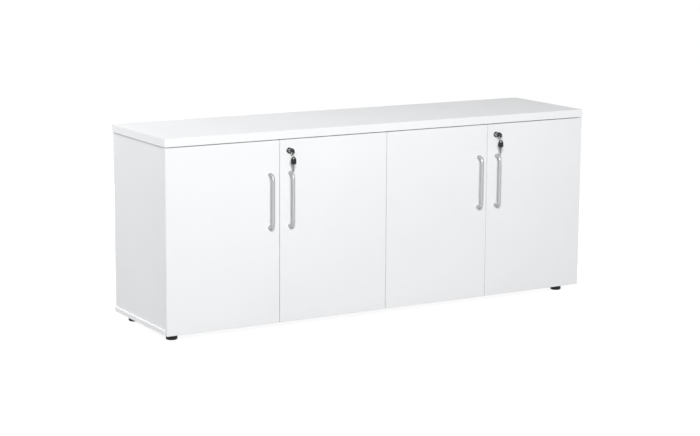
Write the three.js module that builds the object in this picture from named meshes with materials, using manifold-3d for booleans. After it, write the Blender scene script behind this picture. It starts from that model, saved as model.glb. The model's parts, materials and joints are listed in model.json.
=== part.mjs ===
// A four-door office credenza in white melamine board. Millimetres, +Z up, doors facing -Y.
// The origin is on the floor, under the middle of the whole outline with handles and keys.
import * as THREE from "three";
import { mergeVertices } from "three/addons/utils/BufferGeometryUtils.js";
import Module from "manifold-3d";

// Overall size and boards
const WIDTH = 1800;
const DEPTH = 450;
const BODY_HEIGHT = 700;
const FOOT_HEIGHT = 30;
const TOP_THICKNESS = 30;
const BOARD = 18;
const SIDE_SETBACK = 4;
const BACK_BOARD = 16;
const ARRIS = 1;
const SHELF_SIDE_GAP = 1;
const SHELF_SETBACK = 40;

// Doors and the gaps round them
const DOOR_COUNT = 4;
const DOOR_BOARD = 18;
const DOOR_GAP = 3;
const TOP_GAP = 3;
const BUMPER_GAP = 3;

// Bow handles: hole centres, bar, how far the bar stands off the door, and the space to the keys
const HANDLE_CENTRES = 192;
const HANDLE_BAR = 14;
const HANDLE_REACH = 26;
const HANDLE_BEND = 20;
const HANDLE_FROM_SEAM = 41;
const HANDLE_BELOW_KEYS = 1.5;

// Concealed hinges: a cup sunk in the door and an arm screwed to the upright
const HINGE_FROM_DOOR_END = 100;
const CUP_DIAMETER = 35;
const CUP_DEPTH = 12.5;
const CUP_WALL = 1.5;
const CUP_FROM_EDGE = 5;
const FLANGE = 1.2;
const WING_LENGTH = 60;
const WING_WIDTH = 18;
const WING_OFFSET = 6;
const ARM_WIDTH = 13;
const ARM_HEIGHT = 8;
const ARM_SKIN = 2.5;
const ARM_BACK = 62;
const NOSE_FROM_EDGE = 24;
const PLATE_THICKNESS = 6;
const PLATE_FROM_FRONT = 37;
const PLATE_LENGTH = 34;
const PLATE_WING = 48;
const PLATE_WING_WIDTH = 14;
const PLATE_WING_THICKNESS = 2.5;

// Shelf pins
const PIN_DIAMETER = 5;
const PIN_DEPTH = 8;
const PIN_REACH = 8;
const PIN_COLLAR = 8;
const PIN_COLLAR_THICKNESS = 1.5;
const PIN_FROM_SHELF_END = 50;

// Feet
const FOOT_DIAMETER = 42;
const FOOT_SOLE = 36;
const FOOT_ROUNDING = 4;
const FOOT_INSET = 53;
const STEM_DIAMETER = 10;
const STEM_LENGTH = 14;

// Cam locks on the right-hand door of each pair
const LOCK_FROM_SEAM = 38;
const LOCK_FROM_DOOR_TOP = 39.5;
const ROSE_DIAMETER = 22;
const ROSE_THICKNESS = 4;
const BARREL_DIAMETER = 18;
const BARREL_BEHIND_DOOR = 16;
const NUT_ACROSS_CORNERS = 27;
const NUT_THICKNESS = 5;
const PLUG_DIAMETER = 12;
const PLUG_TAIL = 2;
const STUB_DIAMETER = 8;
const CAM_THICKNESS = 2;
const CAM_WIDTH = 12;
const CAM_HUB = 16;
const CAM_LENGTH = 34;
const KEEPER_WIDTH = 24;
const KEEPER_DROP = 18;
const KEEPER_SHEET = 2;
const KEEPER_TO_CAM = 1;

// Keys: one in the lock, its spare hanging from it on a ring
const KEYWAY_WIDTH = 2.6;
const KEYWAY_HEIGHT = 8;
const BLADE_THICKNESS = 1.8;
const BLADE_HEIGHT = 7;
const BLADE_LENGTH = 27;
const BOW_LENGTH = 28;
const BOW_HEIGHT = 21;
const BOW_THICKNESS = 3.2;
const BOW_NECK = 8;
const BOW_STANDOFF = 8;
const BOW_HOLE = 5.6;
const BOW_RIM = 3.2;
const RING_DIAMETER = 21;
const RING_WIRE = 1.2;
const RING_DROP = 1.8;
const SPARE_DROP = 1.2;
const SPARE_TURN = 35;

// Clearances, and how finely round pieces are faceted
const CLEARANCE = 0.3;
const HOLE_END = 1;
const WELD = 1e-3;
const ROUND = 20;
const FINE = 12;
const WIRE_SIDES = 6;
const BEND_STEPS = 22;
const BAR_STEPS = 8;
const CURVE_STEPS = 5;

// Places worked out from the sizes above
const bodyBottom = FOOT_HEIGHT;
const topUnderside = FOOT_HEIGHT + BODY_HEIGHT - TOP_THICKNESS;
const floorOfBody = bodyBottom + BOARD;
const uprightHeight = topUnderside - floorOfBody;
const doorFront = -DEPTH / 2;
const doorBack = doorFront + DOOR_BOARD;
const carcassFront = doorBack + BUMPER_GAP;
const carcassDepth = DEPTH / 2 - carcassFront;
const backFace = DEPTH / 2 - BACK_BOARD;
const sideFace = WIDTH / 2 - SIDE_SETBACK - BOARD;
const dividerFace = BOARD / 2;
const doorPitch = WIDTH / DOOR_COUNT;
const doorWidth = doorPitch - DOOR_GAP;
const doorHeight = topUnderside - TOP_GAP - bodyBottom;
const cupFromEdge = CUP_FROM_EDGE + CUP_DIAMETER / 2;
const noseReach = BUMPER_GAP + CUP_DEPTH - CUP_WALL - CLEARANCE;
const hingeHeights = { lower: HINGE_FROM_DOOR_END, upper: doorHeight - HINGE_FROM_DOOR_END };
const shelfUnderside = floorOfBody + (uprightHeight - BOARD) / 2;
const shelfFront = carcassFront + SHELF_SETBACK;
const shelfDepth = backFace - SHELF_SIDE_GAP - shelfFront;
const pinRows = [shelfFront + PIN_FROM_SHELF_END, shelfFront + shelfDepth - PIN_FROM_SHELF_END];
const pinHeight = shelfUnderside - CLEARANCE - PIN_DIAMETER / 2;
const lockHeight = doorHeight - LOCK_FROM_DOOR_TOP;
const barrelEnd = -(DOOR_BOARD + BARREL_BEHIND_DOOR);
const plugEnd = barrelEnd - PLUG_TAIL;
const camFront = plugEnd - CLEARANCE;
const bowFoot = ROSE_THICKNESS + BOW_STANDOFF;
const bowEnd = bowFoot + BOW_LENGTH;
const bowHoleAt = bowEnd - BOW_RIM - BOW_HOLE / 2;
const bladeTip = bowFoot - BLADE_LENGTH;
const spareHole = RING_DROP + RING_DIAMETER + SPARE_DROP;
const keysHang = spareHole + bowHoleAt - bladeTip;
const handleTop = lockHeight - keysHang - HANDLE_BELOW_KEYS;
const handleHeight = handleTop - (HANDLE_CENTRES + HANDLE_BAR) / 2;

const melamine = new THREE.MeshStandardMaterial({ color: 0xf4f4f2, roughness: 0.45, metalness: 0 });
const satinSteel = new THREE.MeshStandardMaterial({ color: 0xb9bbbd, roughness: 0.35, metalness: 1 });
const hingeSteel = new THREE.MeshStandardMaterial({ color: 0xa9acae, roughness: 0.28, metalness: 1 });
const darkChrome = new THREE.MeshStandardMaterial({ color: 0x6b6d70, roughness: 0.2, metalness: 1 });
const blackPlastic = new THREE.MeshStandardMaterial({ color: 0x161616, roughness: 0.55, metalness: 0 });

const wasm = await Module();
wasm.setup();

// A three.js geometry as a solid that can be joined and cut.
function solidOf(geometry) {
  const loose = geometry.index ? geometry.toNonIndexed() : geometry.clone();
  const bare = new THREE.BufferGeometry().setAttribute("position", loose.getAttribute("position"));
  const welded = mergeVertices(bare, WELD);
  const vertProperties = welded.getAttribute("position").array;
  const triVerts = new Uint32Array(welded.index.array);
  return new wasm.Manifold(new wasm.Mesh({ numProp: 3, vertProperties, triVerts }));
}

function geometryOf(solid) {
  const { vertProperties, triVerts } = solid.getMesh();
  const geometry = new THREE.BufferGeometry();
  geometry.setAttribute("position", new THREE.BufferAttribute(vertProperties, 3));
  geometry.setIndex(new THREE.BufferAttribute(triVerts, 1));
  geometry.computeVertexNormals();
  return geometry;
}

function join(first, ...others) {
  return geometryOf(others.reduce((whole, part) => whole.add(solidOf(part)), solidOf(first)));
}

function cut(body, ...tools) {
  return geometryOf(tools.reduce((left, tool) => left.subtract(solidOf(tool)), solidOf(body)));
}

function named(name, geometry, material, x = 0, y = 0, z = 0) {
  const mesh = new THREE.Mesh(geometry, material);
  mesh.name = name;
  mesh.position.set(x, y, z);
  return mesh;
}

// A flat board with eased arrises, lying on its low corner.
function flatBoard(width, depth, thickness) {
  const outline = new THREE.Shape();
  outline.moveTo(0, 0).lineTo(width, 0).lineTo(width, depth).lineTo(0, depth).closePath();
  const geometry = new THREE.ExtrudeGeometry(outline, {
    depth: thickness - 2 * ARRIS,
    bevelThickness: ARRIS,
    bevelSize: ARRIS,
    bevelOffset: -ARRIS,
    bevelSegments: 1,
  });
  return geometry.translate(0, 0, ARRIS);
}

// The same board standing, with its faces to left and right.
function uprightBoard(depth, height, thickness) {
  return flatBoard(depth, height, thickness).rotateX(Math.PI / 2).rotateZ(Math.PI / 2);
}

// The same board standing, with its faces to front and back.
function frontBoard(width, height, thickness) {
  return flatBoard(width, height, thickness).rotateX(Math.PI / 2).translate(0, thickness, 0);
}

// Round tools and pegs along each axis, from the origin towards plus.
function pegY(diameter, length, sides = ROUND) {
  return new THREE.CylinderGeometry(diameter / 2, diameter / 2, length, sides).translate(0, length / 2, 0);
}

function pegZ(diameter, length, sides = ROUND) {
  return pegY(diameter, length, sides).rotateX(Math.PI / 2);
}

function pegX(diameter, length, sides = ROUND) {
  return pegY(diameter, length, sides).rotateZ(-Math.PI / 2);
}

// Feet stand under the bottom panel, and their stems screw up into it.
const footPlaces = [
  ["foot_front_left", -WIDTH / 2 + FOOT_INSET, carcassFront + FOOT_INSET],
  ["foot_front_right", WIDTH / 2 - FOOT_INSET, carcassFront + FOOT_INSET],
  ["foot_rear_left", -WIDTH / 2 + FOOT_INSET, DEPTH / 2 - FOOT_INSET],
  ["foot_rear_right", WIDTH / 2 - FOOT_INSET, DEPTH / 2 - FOOT_INSET],
];

function footGeometry() {
  const rim = FOOT_DIAMETER / 2;
  const side = new THREE.QuadraticBezierCurve(
    new THREE.Vector2(FOOT_SOLE / 2, 0),
    new THREE.Vector2(rim, 0),
    new THREE.Vector2(rim, FOOT_ROUNDING),
  );
  const stem = STEM_DIAMETER / 2;
  const profile = [
    new THREE.Vector2(0, 0),
    ...side.getPoints(CURVE_STEPS - 1),
    new THREE.Vector2(rim, FOOT_HEIGHT),
    new THREE.Vector2(stem, FOOT_HEIGHT),
    new THREE.Vector2(stem, FOOT_HEIGHT + STEM_LENGTH),
    new THREE.Vector2(0, FOOT_HEIGHT + STEM_LENGTH),
  ];
  return new THREE.LatheGeometry(profile, ROUND).rotateX(Math.PI / 2);
}

function addFeet(group) {
  for (const [name, x, y] of footPlaces) {
    group.add(named(name, footGeometry(), blackPlastic, x, y));
  }
}

// The carcass: sides stand on a full-width bottom panel, a little in from its ends, and the top
// lies over everything.
function bottomPanel() {
  const hole = STEM_DIAMETER + 2 * CLEARANCE;
  const tools = footPlaces.map(([, x, y]) =>
    pegZ(hole, STEM_LENGTH + 2 * HOLE_END).translate(x + WIDTH / 2, y - carcassFront, -HOLE_END),
  );
  return cut(flatBoard(WIDTH, carcassDepth, BOARD), ...tools);
}

// Pin holes start at a board's face; turned ones face left.
function pinHoles(face, turned) {
  const diameter = PIN_DIAMETER + 2 * CLEARANCE;
  return pinRows.map((y) => {
    const hole = pegX(diameter, PIN_DEPTH + 2 * HOLE_END, FINE).translate(-HOLE_END, 0, 0);
    if (turned) hole.rotateZ(Math.PI);
    return hole.translate(face, y - carcassFront, pinHeight - floorOfBody);
  });
}

function addCarcass(group) {
  const top = flatBoard(WIDTH, DEPTH, TOP_THICKNESS);
  const side = uprightBoard(carcassDepth, uprightHeight, BOARD);
  const divider = uprightBoard(backFace - carcassFront, uprightHeight, BOARD);
  const back = frontBoard(2 * sideFace, uprightHeight, BACK_BOARD);
  const towardsLeft = pinHoles(0, false);
  const towardsRight = pinHoles(BOARD, true);
  const leftSide = cut(side, ...towardsRight);
  const rightSide = cut(side, ...towardsLeft);
  const centre = cut(divider, ...towardsLeft, ...towardsRight);
  group.add(
    named("top_panel", top, melamine, -WIDTH / 2, doorFront, topUnderside),
    named("bottom_panel", bottomPanel(), melamine, -WIDTH / 2, carcassFront, bodyBottom),
    named("left_side_panel", leftSide, melamine, -sideFace - BOARD, carcassFront, floorOfBody),
    named("right_side_panel", rightSide, melamine, sideFace, carcassFront, floorOfBody),
    named("centre_divider", centre, melamine, -dividerFace, carcassFront, floorOfBody),
    named("back_panel", back, melamine, -sideFace, backFace, floorOfBody),
  );
}

// A shelf in each half lies loose on four pins.
function pinGeometry() {
  const shank = PIN_DIAMETER / 2;
  const collar = PIN_COLLAR / 2;
  const profile = [
    new THREE.Vector2(0, -PIN_DEPTH),
    new THREE.Vector2(shank, -PIN_DEPTH),
    new THREE.Vector2(shank, CLEARANCE),
    new THREE.Vector2(collar, CLEARANCE),
    new THREE.Vector2(collar, CLEARANCE + PIN_COLLAR_THICKNESS),
    new THREE.Vector2(shank, CLEARANCE + PIN_COLLAR_THICKNESS),
    new THREE.Vector2(shank, PIN_REACH),
    new THREE.Vector2(0, PIN_REACH),
  ];
  return new THREE.LatheGeometry(profile, FINE).rotateZ(-Math.PI / 2);
}

// The shelf is notched at its ends over the pins' collars.
function shelfGeometry(width) {
  const notch = PIN_COLLAR + 2 * CLEARANCE;
  const reach = CLEARANCE + PIN_COLLAR_THICKNESS + CLEARANCE - SHELF_SIDE_GAP;
  const drop = pinHeight - shelfUnderside;
  const tools = pinRows.flatMap((y) => [
    pegX(notch, reach + HOLE_END, FINE).translate(-HOLE_END, y - shelfFront, drop),
    pegX(notch, reach + HOLE_END, FINE).translate(width - reach, y - shelfFront, drop),
  ]);
  return cut(flatBoard(width, shelfDepth, BOARD), ...tools);
}

function addShelves(group) {
  const width = sideFace - dividerFace - 2 * SHELF_SIDE_GAP;
  const halves = [
    ["left_shelf", -sideFace, -dividerFace],
    ["right_shelf", dividerFace, sideFace],
  ];
  let pin = 0;
  for (const [name, left, right] of halves) {
    const shelf = shelfGeometry(width);
    group.add(named(name, shelf, melamine, left + SHELF_SIDE_GAP, shelfFront, shelfUnderside));
    for (const face of [left, right]) {
      for (const y of pinRows) {
        pin += 1;
        const peg = named(`shelf_pin_${pin}`, pinGeometry(), hingeSteel, face, y, pinHeight);
        peg.rotation.z = face === left ? 0 : Math.PI;
        group.add(peg);
      }
    }
  }
}

// A hinge arm, seen from above: x runs from the door's hinged edge inwards, y from the carcass
// front backwards. The arm sits on a plate on the upright and its nose dips into the cup.
function armGeometry(faceFromEdge) {
  const seat = faceFromEdge + PLATE_THICKNESS;
  const plateStart = PLATE_FROM_FRONT - PLATE_LENGTH / 2;
  const crankEnd = plateStart / 3;
  const half = ARM_HEIGHT / 2;
  const outline = new THREE.Shape();
  outline.moveTo(seat, ARM_BACK).lineTo(seat, plateStart).lineTo(NOSE_FROM_EDGE, crankEnd);
  outline.lineTo(NOSE_FROM_EDGE, half - noseReach);
  outline.absarc(NOSE_FROM_EDGE + half, half - noseReach, half, Math.PI, 2 * Math.PI);
  outline.lineTo(NOSE_FROM_EDGE + ARM_HEIGHT, crankEnd).lineTo(seat + ARM_HEIGHT, plateStart);
  outline.lineTo(seat + ARM_HEIGHT, ARM_BACK - half);
  outline.quadraticCurveTo(seat + ARM_HEIGHT, ARM_BACK, seat + half, ARM_BACK).closePath();
  const options = { depth: ARM_WIDTH, bevelEnabled: false, curveSegments: CURVE_STEPS };
  const arm = new THREE.ExtrudeGeometry(outline, options).translate(0, 0, -ARM_WIDTH / 2);
  const channel = new THREE.BoxGeometry(ARM_HEIGHT, PLATE_LENGTH, ARM_WIDTH - 2 * ARM_SKIN);
  channel.translate(seat + ARM_SKIN + half, PLATE_FROM_FRONT, 0);
  const plate = new THREE.BoxGeometry(PLATE_THICKNESS, PLATE_LENGTH, ARM_WIDTH);
  plate.translate(faceFromEdge + PLATE_THICKNESS / 2, PLATE_FROM_FRONT, 0);
  const wings = plateWings().translate(faceFromEdge, PLATE_FROM_FRONT, 0);
  return join(cut(arm, channel), plate, wings);
}

// The plate's two screw wings, rounded at their ends, standing off the upright's face.
function plateWings() {
  const radius = PLATE_WING_WIDTH / 2;
  const run = PLATE_WING / 2 - radius;
  const outline = new THREE.Shape();
  outline.absarc(0, run, radius, 0, Math.PI);
  outline.absarc(0, -run, radius, Math.PI, 2 * Math.PI);
  outline.closePath();
  const options = { depth: PLATE_WING_THICKNESS, bevelEnabled: false, curveSegments: CURVE_STEPS };
  return new THREE.ExtrudeGeometry(outline, options).rotateX(Math.PI / 2).rotateZ(Math.PI / 2);
}

// The cup: a bowl pressed into the door's back, with a flange and two screw wings.
function cupGeometry() {
  const outer = CUP_DIAMETER / 2;
  const inner = outer - CUP_WALL;
  const profile = [
    new THREE.Vector2(0, -CUP_DEPTH),
    new THREE.Vector2(outer - ARRIS, -CUP_DEPTH),
    new THREE.Vector2(outer, -CUP_DEPTH + ARRIS),
    new THREE.Vector2(outer, CLEARANCE + FLANGE),
    new THREE.Vector2(inner, CLEARANCE + FLANGE),
    new THREE.Vector2(inner, -CUP_DEPTH + CUP_WALL),
    new THREE.Vector2(0, -CUP_DEPTH + CUP_WALL),
  ];
  const bowl = new THREE.LatheGeometry(profile, ROUND);
  const radius = WING_WIDTH / 2;
  const run = WING_LENGTH / 2 - radius;
  const outline = new THREE.Shape();
  outline.absarc(WING_OFFSET, run, radius, 0, Math.PI);
  outline.absarc(WING_OFFSET, -run, radius, Math.PI, 2 * Math.PI);
  outline.closePath();
  const options = { depth: FLANGE, bevelEnabled: false, curveSegments: CURVE_STEPS };
  const wings = new THREE.ExtrudeGeometry(outline, options).rotateX(Math.PI / 2);
  wings.translate(0, CLEARANCE + FLANGE, 0);
  const mouth = pegY(2 * inner, CUP_DEPTH);
  return join(bowl, cut(wings, mouth));
}

function addHinges(group, door, edge, turn, faceFromEdge) {
  for (const [level, height] of Object.entries(hingeHeights)) {
    const hinge = new THREE.Group();
    hinge.position.set(edge, carcassFront, bodyBottom + height);
    hinge.rotation.y = turn;
    hinge.add(
      named(`door_${door}_${level}_hinge_arm`, armGeometry(faceFromEdge), hingeSteel, CLEARANCE),
      named(`door_${door}_${level}_hinge_cup`, cupGeometry(), hingeSteel, cupFromEdge, -BUMPER_GAP),
    );
    group.add(hinge);
  }
}

// A bow handle: one round bar bent back to the door at both ends.
function handleGeometry() {
  const half = HANDLE_CENTRES / 2;
  const legEnd = HANDLE_REACH - HANDLE_BEND;
  const barEnd = half - HANDLE_BEND;
  const point = (reach, height) => new THREE.Vector3(0, -reach, height);
  const bend = (start, corner, end) => new THREE.QuadraticBezierCurve3(start, corner, end);
  const path = new THREE.CurvePath();
  path.add(new THREE.LineCurve3(point(CLEARANCE, -half), point(legEnd, -half)));
  path.add(bend(point(legEnd, -half), point(HANDLE_REACH, -half), point(HANDLE_REACH, -barEnd)));
  path.add(new THREE.LineCurve3(point(HANDLE_REACH, -barEnd), point(HANDLE_REACH, barEnd)));
  path.add(bend(point(HANDLE_REACH, barEnd), point(HANDLE_REACH, half), point(legEnd, half)));
  path.add(new THREE.LineCurve3(point(legEnd, half), point(CLEARANCE, half)));
  const section = new THREE.Shape().absarc(0, 0, HANDLE_BAR / 2, 0, 2 * Math.PI);
  const options = { steps: BEND_STEPS, extrudePath: path, curveSegments: BAR_STEPS };
  return new THREE.ExtrudeGeometry(section, options);
}

// A lock is built facing the viewer: x right, y up, z out of the door's face.
function caseGeometry() {
  const bore = PLUG_DIAMETER / 2 + CLEARANCE;
  const rose = ROSE_DIAMETER / 2;
  const barrel = BARREL_DIAMETER / 2;
  const profile = [
    new THREE.Vector2(bore, barrelEnd),
    new THREE.Vector2(barrel, barrelEnd),
    new THREE.Vector2(barrel, CLEARANCE),
    new THREE.Vector2(rose, CLEARANCE),
    new THREE.Vector2(rose, ROSE_THICKNESS - ARRIS),
    new THREE.Vector2(rose - ARRIS, ROSE_THICKNESS),
    new THREE.Vector2(bore, ROSE_THICKNESS),
    new THREE.Vector2(bore, barrelEnd),
  ];
  return new THREE.LatheGeometry(profile, ROUND).rotateX(Math.PI / 2);
}

function nutGeometry() {
  const hexagon = new THREE.Shape();
  const corners = 6;
  for (let i = 0; i < corners; i += 1) {
    const angle = (2 * Math.PI * i) / corners;
    const x = (Math.cos(angle) * NUT_ACROSS_CORNERS) / 2;
    const y = (Math.sin(angle) * NUT_ACROSS_CORNERS) / 2;
    if (i === 0) hexagon.moveTo(x, y);
    else hexagon.lineTo(x, y);
  }
  hexagon.closePath();
  hexagon.holes.push(new THREE.Path().absarc(0, 0, BARREL_DIAMETER / 2 + CLEARANCE, 0, 2 * Math.PI));
  const options = { depth: NUT_THICKNESS, bevelEnabled: false, curveSegments: FINE };
  return new THREE.ExtrudeGeometry(hexagon, options).translate(
    0,
    0,
    -DOOR_BOARD - CLEARANCE - NUT_THICKNESS,
  );
}

function plugGeometry() {
  const face = ROSE_THICKNESS - CLEARANCE;
  const plug = pegZ(PLUG_DIAMETER, face - plugEnd).translate(0, 0, plugEnd);
  const stubLength = CLEARANCE + CAM_THICKNESS + HOLE_END;
  const stub = pegZ(STUB_DIAMETER, stubLength + HOLE_END).translate(0, 0, plugEnd - stubLength);
  const depth = face - bladeTip + HOLE_END;
  const keyway = new THREE.BoxGeometry(KEYWAY_WIDTH, KEYWAY_HEIGHT, depth + HOLE_END);
  keyway.translate(0, 0, face + HOLE_END - (depth + HOLE_END) / 2);
  return cut(join(plug, stub), keyway);
}

// The cam is a flat tongue on the plug's stub, pointing towards the hinges when unlocked.
function camGeometry() {
  const hub = CAM_HUB / 2;
  const half = CAM_WIDTH / 2;
  const waist = Math.acos(half / hub);
  const outline = new THREE.Shape();
  outline.absarc(0, 0, hub, Math.PI / 2 - waist, (3 * Math.PI) / 2 + waist);
  outline.absarc(CAM_LENGTH - half, 0, half, -Math.PI / 2, Math.PI / 2);
  outline.closePath();
  outline.holes.push(new THREE.Path().absarc(0, 0, STUB_DIAMETER / 2 + CLEARANCE, 0, 2 * Math.PI));
  const options = { depth: CAM_THICKNESS, bevelEnabled: false, curveSegments: FINE };
  return new THREE.ExtrudeGeometry(outline, options).translate(0, 0, camFront - CAM_THICKNESS);
}

// The keeper is a small angle under the top. The locked cam stands behind its drop.
function keeperGeometry() {
  const dropBack = doorFront - camFront - KEEPER_TO_CAM;
  const outline = new THREE.Shape();
  outline.moveTo(carcassFront, topUnderside).lineTo(carcassFront, topUnderside - KEEPER_SHEET);
  outline.lineTo(dropBack - KEEPER_SHEET, topUnderside - KEEPER_SHEET);
  outline.lineTo(dropBack - KEEPER_SHEET, topUnderside - KEEPER_DROP);
  outline.lineTo(dropBack, topUnderside - KEEPER_DROP).lineTo(dropBack, topUnderside).closePath();
  const options = { depth: KEEPER_WIDTH, bevelEnabled: false };
  const angle = new THREE.ExtrudeGeometry(outline, options).translate(0, 0, -KEEPER_WIDTH / 2);
  return angle.rotateX(Math.PI / 2).rotateZ(Math.PI / 2);
}

// A key, pointing into the lock: flat steel blade and moulded bow with a hole for the ring.
function keyGeometry() {
  const half = BOW_HEIGHT / 2;
  const neck = BOW_NECK / 2;
  const waist = bowFoot + BOW_LENGTH / 3;
  const outline = new THREE.Shape();
  outline.moveTo(bowFoot, -neck).quadraticCurveTo(bowFoot, -half, waist, -half);
  outline.quadraticCurveTo(bowEnd, -half, bowEnd, 0).quadraticCurveTo(bowEnd, half, waist, half);
  outline.quadraticCurveTo(bowFoot, half, bowFoot, neck).closePath();
  outline.holes.push(new THREE.Path().absarc(bowHoleAt, 0, BOW_HOLE / 2, 0, 2 * Math.PI));
  const options = { depth: BOW_THICKNESS, bevelEnabled: false, curveSegments: CURVE_STEPS };
  const bow = new THREE.ExtrudeGeometry(outline, options).translate(0, 0, -BOW_THICKNESS / 2);
  bow.rotateY(-Math.PI / 2);
  const tip = new THREE.Shape();
  const point = BLADE_HEIGHT / 2;
  tip.moveTo(bladeTip, 0).lineTo(bladeTip + point, -point).lineTo(bowFoot + HOLE_END, -point);
  tip.lineTo(bowFoot + HOLE_END, point).lineTo(bladeTip + point, point).closePath();
  const bladeOptions = { depth: BLADE_THICKNESS, bevelEnabled: false };
  const blade = new THREE.ExtrudeGeometry(tip, bladeOptions).translate(0, 0, -BLADE_THICKNESS / 2);
  blade.rotateY(-Math.PI / 2);
  return join(bow, blade);
}

function addLock(group, lock, x) {
  const front = new THREE.Group();
  front.position.set(x, doorFront, bodyBottom + lockHeight);
  front.rotation.x = Math.PI / 2;
  const ring = new THREE.TorusGeometry(RING_DIAMETER / 2, RING_WIRE / 2, WIRE_SIDES, ROUND);
  const ringDrop = RING_DROP + RING_DIAMETER / 2;
  const spare = named(`spare_key_${lock}`, keyGeometry(), blackPlastic);
  spare.rotation.set(-Math.PI / 2, THREE.MathUtils.degToRad(SPARE_TURN), 0, "YXZ");
  spare.position.set(0, -spareHole - bowHoleAt, bowHoleAt);
  front.add(
    named(`lock_${lock}_case`, caseGeometry(), darkChrome),
    named(`lock_${lock}_nut`, nutGeometry(), darkChrome),
    named(`lock_${lock}_plug`, plugGeometry(), satinSteel),
    named(`lock_${lock}_cam`, camGeometry(), hingeSteel),
    named(`key_${lock}`, keyGeometry(), blackPlastic),
    named(`key_ring_${lock}`, ring, satinSteel, 0, -ringDrop, bowHoleAt),
    spare,
  );
  group.add(front, named(`lock_${lock}_keeper`, keeperGeometry(), hingeSteel, x));
}

// Doors hang in pairs: the left one of a pair on its left, the right one on its right.
function doorGeometry(hingedRight, lockFromLeft) {
  const tools = Object.values(hingeHeights).map((height) => {
    const fromLeft = hingedRight ? doorWidth - cupFromEdge : cupFromEdge;
    const bore = pegY(CUP_DIAMETER + 2 * CLEARANCE, CUP_DEPTH + CLEARANCE + HOLE_END);
    return bore.translate(fromLeft, DOOR_BOARD - CUP_DEPTH - CLEARANCE, height);
  });
  if (hingedRight) {
    const through = pegY(BARREL_DIAMETER + 2 * CLEARANCE, DOOR_BOARD + 2 * HOLE_END);
    tools.push(through.translate(lockFromLeft, -HOLE_END, lockHeight));
  }
  return cut(frontBoard(doorWidth, doorHeight, DOOR_BOARD), ...tools);
}

function addDoors(group) {
  for (let i = 0; i < DOOR_COUNT; i += 1) {
    const door = i + 1;
    const hingedRight = i % 2 === 1;
    const left = -WIDTH / 2 + i * doorPitch + DOOR_GAP / 2;
    const edge = hingedRight ? left + doorWidth : left;
    const seam = hingedRight ? left - DOOR_GAP / 2 : left + doorWidth + DOOR_GAP / 2;
    const away = hingedRight ? 1 : -1;
    const outer = i === 0 || i === DOOR_COUNT - 1;
    const uprightFace = outer ? sideFace : dividerFace;
    const faceFromEdge = Math.abs(Math.abs(edge) - uprightFace);
    const lockFromLeft = LOCK_FROM_SEAM - DOOR_GAP / 2;
    group.add(
      named(`door_${door}`, doorGeometry(hingedRight, lockFromLeft), melamine, left, doorFront, bodyBottom),
      named(
        `handle_${door}`,
        handleGeometry(),
        satinSteel,
        seam + away * HANDLE_FROM_SEAM,
        doorFront,
        bodyBottom + handleHeight,
      ),
    );
    addHinges(group, door, edge, hingedRight ? Math.PI : 0, faceFromEdge);
    if (hingedRight) addLock(group, door / 2, left + lockFromLeft);
  }
}

const credenza = new THREE.Group();
addFeet(credenza);
addCarcass(credenza);
addShelves(credenza);
addDoors(credenza);
const outlineBox = new THREE.Box3().setFromObject(credenza, true);
credenza.position.y = -(outlineBox.min.y + outlineBox.max.y) / 2;

export default credenza;
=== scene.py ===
import json
import math

import bmesh
import bpy
from mathutils import Matrix, Vector

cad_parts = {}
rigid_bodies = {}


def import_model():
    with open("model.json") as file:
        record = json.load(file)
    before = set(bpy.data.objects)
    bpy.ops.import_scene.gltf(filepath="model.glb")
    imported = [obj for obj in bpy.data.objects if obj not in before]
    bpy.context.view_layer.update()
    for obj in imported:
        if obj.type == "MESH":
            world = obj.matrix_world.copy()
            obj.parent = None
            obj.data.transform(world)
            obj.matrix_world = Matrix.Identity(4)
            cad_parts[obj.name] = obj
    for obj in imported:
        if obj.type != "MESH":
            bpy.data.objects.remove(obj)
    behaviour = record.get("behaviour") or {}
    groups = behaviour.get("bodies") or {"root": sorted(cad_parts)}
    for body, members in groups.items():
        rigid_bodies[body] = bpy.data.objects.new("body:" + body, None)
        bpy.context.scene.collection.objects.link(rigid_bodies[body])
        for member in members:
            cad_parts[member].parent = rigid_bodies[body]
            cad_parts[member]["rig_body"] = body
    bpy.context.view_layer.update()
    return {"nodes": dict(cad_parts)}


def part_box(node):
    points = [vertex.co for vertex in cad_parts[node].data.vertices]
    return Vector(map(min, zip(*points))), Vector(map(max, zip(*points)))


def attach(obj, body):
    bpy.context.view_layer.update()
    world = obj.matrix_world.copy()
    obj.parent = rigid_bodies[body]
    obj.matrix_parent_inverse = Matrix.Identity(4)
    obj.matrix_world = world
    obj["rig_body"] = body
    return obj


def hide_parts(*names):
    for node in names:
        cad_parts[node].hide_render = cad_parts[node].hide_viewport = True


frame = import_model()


# Carcass boards. The top, bottom, sides, divider and back are particle board faced with white
# melamine, sawn square and edged with glued plastic strips. Hidden dowels and cam fittings draw
# them together, so nothing shows on the outside but the joint lines.
MM = 0.001
BOARD_ARRIS = 1.0 * MM
ARRIS_STEPS = 3
ROUND_PROFILE = 0.5
BROAD_FACE_COSINE = 0.9
SHARP_FOLD = math.radians(35)
HOLE_CLEARANCE = 0.3 * MM
HOLE_START = 2 * MM
HOLE_STEPS = 48
STEM_DIAMETER = 10 * MM
FOOT_CORNERS = ("front_left", "front_right", "rear_left", "rear_right")
PIN_DIAMETER = 5 * MM
LEFT_SIDE_PINS = (1, 2)
DIVIDER_PINS = (3, 4, 5, 6)
RIGHT_SIDE_PINS = (7, 8)
NOISE_BAND = (0.3, 0.7)
MELAMINE_LOW = (0.862, 0.872, 0.882)
MELAMINE_HIGH = (0.886, 0.895, 0.904)
MELAMINE_ROUGHNESS = (0.46, 0.55)
MELAMINE_SPECULAR = 0.25
PEARL_HEIGHT = 0.012 * MM
EDGING_LOW = (0.872, 0.882, 0.891)
EDGING_HIGH = (0.894, 0.903, 0.911)
EDGING_ROUGHNESS = (0.38, 0.46)
EDGING_RIPPLE = 0.006 * MM


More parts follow.
